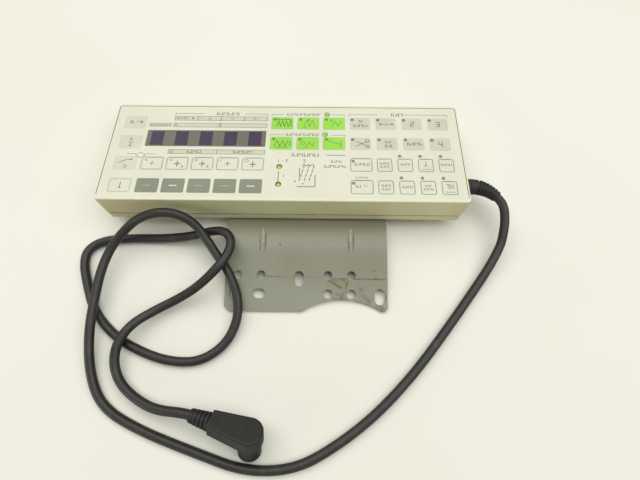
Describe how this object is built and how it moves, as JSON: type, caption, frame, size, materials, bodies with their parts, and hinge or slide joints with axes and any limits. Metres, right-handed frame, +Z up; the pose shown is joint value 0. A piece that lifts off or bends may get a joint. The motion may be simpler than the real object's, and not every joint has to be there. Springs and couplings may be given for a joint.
{
  "type": "hmi panel",
  "caption": "Flat operator panel with a printed key field, digit display and lamps in a slim tilted case, on a bent slotted bracket, with a looped lead and a right-angle plug.",
  "frame": {"origin": "middle of the footprint of the case and bracket, on the surface that they stand on", "axes": "+X to the right along the key rows, +Y from the front to the rear of the face, +Z up"},
  "size_m": [0.2665, 0.2233, 0.0314],
  "materials": {
    "case": "fine spark texture",
    "film": "matt printed film",
    "window": "smoked, satin",
    "board": "solder mask",
    "digits": "moulded, with grey segments",
    "switches": "moulded",
    "key_lamps": "clear",
    "round_lamps": "tinted, unlit",
    "connector": "moulded",
    "wires": "sleeved",
    "screws": "zinc plated",
    "bracket": "satin grey paint, worn",
    "relief": "moulded",
    "lead": "satin sheath",
    "plug_boot": "moulded",
    "plug": "moulded, satin",
    "plug_shell": "nickel plated",
    "plug_insert": "moulded",
    "plug_pins": "gold flash",
    "keys_outline": "matt printed film, dark outline",
    "keys_grey": "matt printed film",
    "keys_minus": "matt printed film",
    "keys_green": "matt printed film"
  },
  "bodies": {
    "panel": {"front_cover": "case", "rear_cover": "case", "film": "film", "display_window": "window", "circuit_board": "board", "digit_modules": "digits", "push_switches": "switches", "key_lamps": "key_lamps", "round_lamps": "round_lamps", "board_connector": "connector", "wires": "wires", "case_screws": "screws", "board_screws": "screws", "bracket": "bracket", "bracket_screws": "screws", "lead_relief": "relief", "lead": "lead", "plug_boot": "plug_boot", "plug_body": "plug", "plug_shell": "plug_shell", "plug_insert": "plug_insert", "plug_pins": "plug_pins"},
    "left_key_1": {"left_key_1": "keys_grey"},
    "left_key_2": {"left_key_2": "keys_grey"},
    "left_key_3": {"left_key_3": "keys_grey"},
    "left_key_4": {"left_key_4": "keys_outline"},
    "plus_key_1": {"plus_key_1": "keys_outline"},
    "minus_key_1": {"minus_key_1": "keys_minus"},
    "plus_key_2": {"plus_key_2": "keys_outline"},
    "minus_key_2": {"minus_key_2": "keys_minus"},
    "plus_key_3": {"plus_key_3": "keys_outline"},
    "minus_key_3": {"minus_key_3": "keys_minus"},
    "plus_key_4": {"plus_key_4": "keys_outline"},
    "minus_key_4": {"minus_key_4": "keys_minus"},
    "plus_key_5": {"plus_key_5": "keys_outline"},
    "minus_key_5": {"minus_key_5": "keys_minus"},
    "green_key_1": {"green_key_1": "keys_green"},
    "green_key_2": {"green_key_2": "keys_green"},
    "green_key_3": {"green_key_3": "keys_green"},
    "grey_key_1": {"grey_key_1": "keys_grey"},
    "grey_key_2": {"grey_key_2": "keys_grey"},
    "grey_key_3": {"grey_key_3": "keys_grey"},
    "grey_key_4": {"grey_key_4": "keys_grey"},
    "outline_key_1": {"outline_key_1": "keys_outline"},
    "outline_key_2": {"outline_key_2": "keys_outline"},
    "outline_key_3": {"outline_key_3": "keys_outline"},
    "outline_key_4": {"outline_key_4": "keys_outline"},
    "outline_key_5": {"outline_key_5": "keys_outline"},
    "green_key_4": {"green_key_4": "keys_green"},
    "green_key_5": {"green_key_5": "keys_green"},
    "green_key_6": {"green_key_6": "keys_green"},
    "grey_key_5": {"grey_key_5": "keys_grey"},
    "grey_key_6": {"grey_key_6": "keys_grey"},
    "grey_key_7": {"grey_key_7": "keys_grey"},
    "grey_key_8": {"grey_key_8": "keys_grey"},
    "outline_key_6": {"outline_key_6": "keys_outline"},
    "outline_key_7": {"outline_key_7": "keys_outline"},
    "outline_key_8": {"outline_key_8": "keys_outline"},
    "outline_key_9": {"outline_key_9": "keys_outline"},
    "outline_key_10": {"outline_key_10": "keys_outline"}
  },
  "joints": [
    {"name": "left_key_1_press", "type": "slide", "parent": "panel", "child": "left_key_1", "axis": [0, -0.1458, -0.9893], "range_m": [0, 0.0003], "stiffness_N_per_m": 4000},
    {"name": "left_key_2_press", "type": "slide", "parent": "panel", "child": "left_key_2", "axis": [0, -0.1458, -0.9893], "range_m": [0, 0.0003], "stiffness_N_per_m": 4000},
    {"name": "left_key_3_press", "type": "slide", "parent": "panel", "child": "left_key_3", "axis": [0, -0.1458, -0.9893], "range_m": [0, 0.0003], "stiffness_N_per_m": 4000},
    {"name": "left_key_4_press", "type": "slide", "parent": "panel", "child": "left_key_4", "axis": [0, -0.1458, -0.9893], "range_m": [0, 0.0003], "stiffness_N_per_m": 4000},
    {"name": "plus_key_1_press", "type": "slide", "parent": "panel", "child": "plus_key_1", "axis": [0, -0.1458, -0.9893], "range_m": [0, 0.0003], "stiffness_N_per_m": 4000},
    {"name": "minus_key_1_press", "type": "slide", "parent": "panel", "child": "minus_key_1", "axis": [0, -0.1458, -0.9893], "range_m": [0, 0.0003], "stiffness_N_per_m": 4000},
    {"name": "plus_key_2_press", "type": "slide", "parent": "panel", "child": "plus_key_2", "axis": [0, -0.1458, -0.9893], "range_m": [0, 0.0003], "stiffness_N_per_m": 4000},
    {"name": "minus_key_2_press", "type": "slide", "parent": "panel", "child": "minus_key_2", "axis": [0, -0.1458, -0.9893], "range_m": [0, 0.0003], "stiffness_N_per_m": 4000},
    {"name": "plus_key_3_press", "type": "slide", "parent": "panel", "child": "plus_key_3", "axis": [0, -0.1458, -0.9893], "range_m": [0, 0.0003], "stiffness_N_per_m": 4000},
    {"name": "minus_key_3_press", "type": "slide", "parent": "panel", "child": "minus_key_3", "axis": [0, -0.1458, -0.9893], "range_m": [0, 0.0003], "stiffness_N_per_m": 4000},
    {"name": "plus_key_4_press", "type": "slide", "parent": "panel", "child": "plus_key_4", "axis": [0, -0.1458, -0.9893], "range_m": [0, 0.0003], "stiffness_N_per_m": 4000},
    {"name": "minus_key_4_press", "type": "slide", "parent": "panel", "child": "minus_key_4", "axis": [0, -0.1458, -0.9893], "range_m": [0, 0.0003], "stiffness_N_per_m": 4000},
    {"name": "plus_key_5_press", "type": "slide", "parent": "panel", "child": "plus_key_5", "axis": [0, -0.1458, -0.9893], "range_m": [0, 0.0003], "stiffness_N_per_m": 4000},
    {"name": "minus_key_5_press", "type": "slide", "parent": "panel", "child": "minus_key_5", "axis": [0, -0.1458, -0.9893], "range_m": [0, 0.0003], "stiffness_N_per_m": 4000},
    {"name": "green_key_1_press", "type": "slide", "parent": "panel", "child": "green_key_1", "axis": [0, -0.1458, -0.9893], "range_m": [0, 0.0003], "stiffness_N_per_m": 4000},
    {"name": "green_key_2_press", "type": "slide", "parent": "panel", "child": "green_key_2", "axis": [0, -0.1458, -0.9893], "range_m": [0, 0.0003], "stiffness_N_per_m": 4000},
    {"name": "green_key_3_press", "type": "slide", "parent": "panel", "child": "green_key_3", "axis": [0, -0.1458, -0.9893], "range_m": [0, 0.0003], "stiffness_N_per_m": 4000},
    {"name": "grey_key_1_press", "type": "slide", "parent": "panel", "child": "grey_key_1", "axis": [0, -0.1458, -0.9893], "range_m": [0, 0.0003], "stiffness_N_per_m": 4000},
    {"name": "grey_key_2_press", "type": "slide", "parent": "panel", "child": "grey_key_2", "axis": [0, -0.1458, -0.9893], "range_m": [0, 0.0003], "stiffness_N_per_m": 4000},
    {"name": "grey_key_3_press", "type": "slide", "parent": "panel", "child": "grey_key_3", "axis": [0, -0.1458, -0.9893], "range_m": [0, 0.0003], "stiffness_N_per_m": 4000},
    {"name": "grey_key_4_press", "type": "slide", "parent": "panel", "child": "grey_key_4", "axis": [0, -0.1458, -0.9893], "range_m": [0, 0.0003], "stiffness_N_per_m": 4000},
    {"name": "outline_key_1_press", "type": "slide", "parent": "panel", "child": "outline_key_1", "axis": [0, -0.1458, -0.9893], "range_m": [0, 0.0003], "stiffness_N_per_m": 4000},
    {"name": "outline_key_2_press", "type": "slide", "parent": "panel", "child": "outline_key_2", "axis": [0, -0.1458, -0.9893], "range_m": [0, 0.0003], "stiffness_N_per_m": 4000},
    {"name": "outline_key_3_press", "type": "slide", "parent": "panel", "child": "outline_key_3", "axis": [0, -0.1458, -0.9893], "range_m": [0, 0.0003], "stiffness_N_per_m": 4000},
    {"name": "outline_key_4_press", "type": "slide", "parent": "panel", "child": "outline_key_4", "axis": [0, -0.1458, -0.9893], "range_m": [0, 0.0003], "stiffness_N_per_m": 4000},
    {"name": "outline_key_5_press", "type": "slide", "parent": "panel", "child": "outline_key_5", "axis": [0, -0.1458, -0.9893], "range_m": [0, 0.0003], "stiffness_N_per_m": 4000},
    {"name": "green_key_4_press", "type": "slide", "parent": "panel", "child": "green_key_4", "axis": [0, -0.1458, -0.9893], "range_m": [0, 0.0003], "stiffness_N_per_m": 4000},
    {"name": "green_key_5_press", "type": "slide", "parent": "panel", "child": "green_key_5", "axis": [0, -0.1458, -0.9893], "range_m": [0, 0.0003], "stiffness_N_per_m": 4000},
    {"name": "green_key_6_press", "type": "slide", "parent": "panel", "child": "green_key_6", "axis": [0, -0.1458, -0.9893], "range_m": [0, 0.0003], "stiffness_N_per_m": 4000},
    {"name": "grey_key_5_press", "type": "slide", "parent": "panel", "child": "grey_key_5", "axis": [0, -0.1458, -0.9893], "range_m": [0, 0.0003], "stiffness_N_per_m": 4000},
    {"name": "grey_key_6_press", "type": "slide", "parent": "panel", "child": "grey_key_6", "axis": [0, -0.1458, -0.9893], "range_m": [0, 0.0003], "stiffness_N_per_m": 4000},
    {"name": "grey_key_7_press", "type": "slide", "parent": "panel", "child": "grey_key_7", "axis": [0, -0.1458, -0.9893], "range_m": [0, 0.0003], "stiffness_N_per_m": 4000},
    {"name": "grey_key_8_press", "type": "slide", "parent": "panel", "child": "grey_key_8", "axis": [0, -0.1458, -0.9893], "range_m": [0, 0.0003], "stiffness_N_per_m": 4000},
    {"name": "outline_key_6_press", "type": "slide", "parent": "panel", "child": "outline_key_6", "axis": [0, -0.1458, -0.9893], "range_m": [0, 0.0003], "stiffness_N_per_m": 4000},
    {"name": "outline_key_7_press", "type": "slide", "parent": "panel", "child": "outline_key_7", "axis": [0, -0.1458, -0.9893], "range_m": [0, 0.0003], "stiffness_N_per_m": 4000},
    {"name": "outline_key_8_press", "type": "slide", "parent": "panel", "child": "outline_key_8", "axis": [0, -0.1458, -0.9893], "range_m": [0, 0.0003], "stiffness_N_per_m": 4000},
    {"name": "outline_key_9_press", "type": "slide", "parent": "panel", "child": "outline_key_9", "axis": [0, -0.1458, -0.9893], "range_m": [0, 0.0003], "stiffness_N_per_m": 4000},
    {"name": "outline_key_10_press", "type": "slide", "parent": "panel", "child": "outline_key_10", "axis": [0, -0.1458, -0.9893], "range_m": [0, 0.0003], "stiffness_N_per_m": 4000}
  ]
}
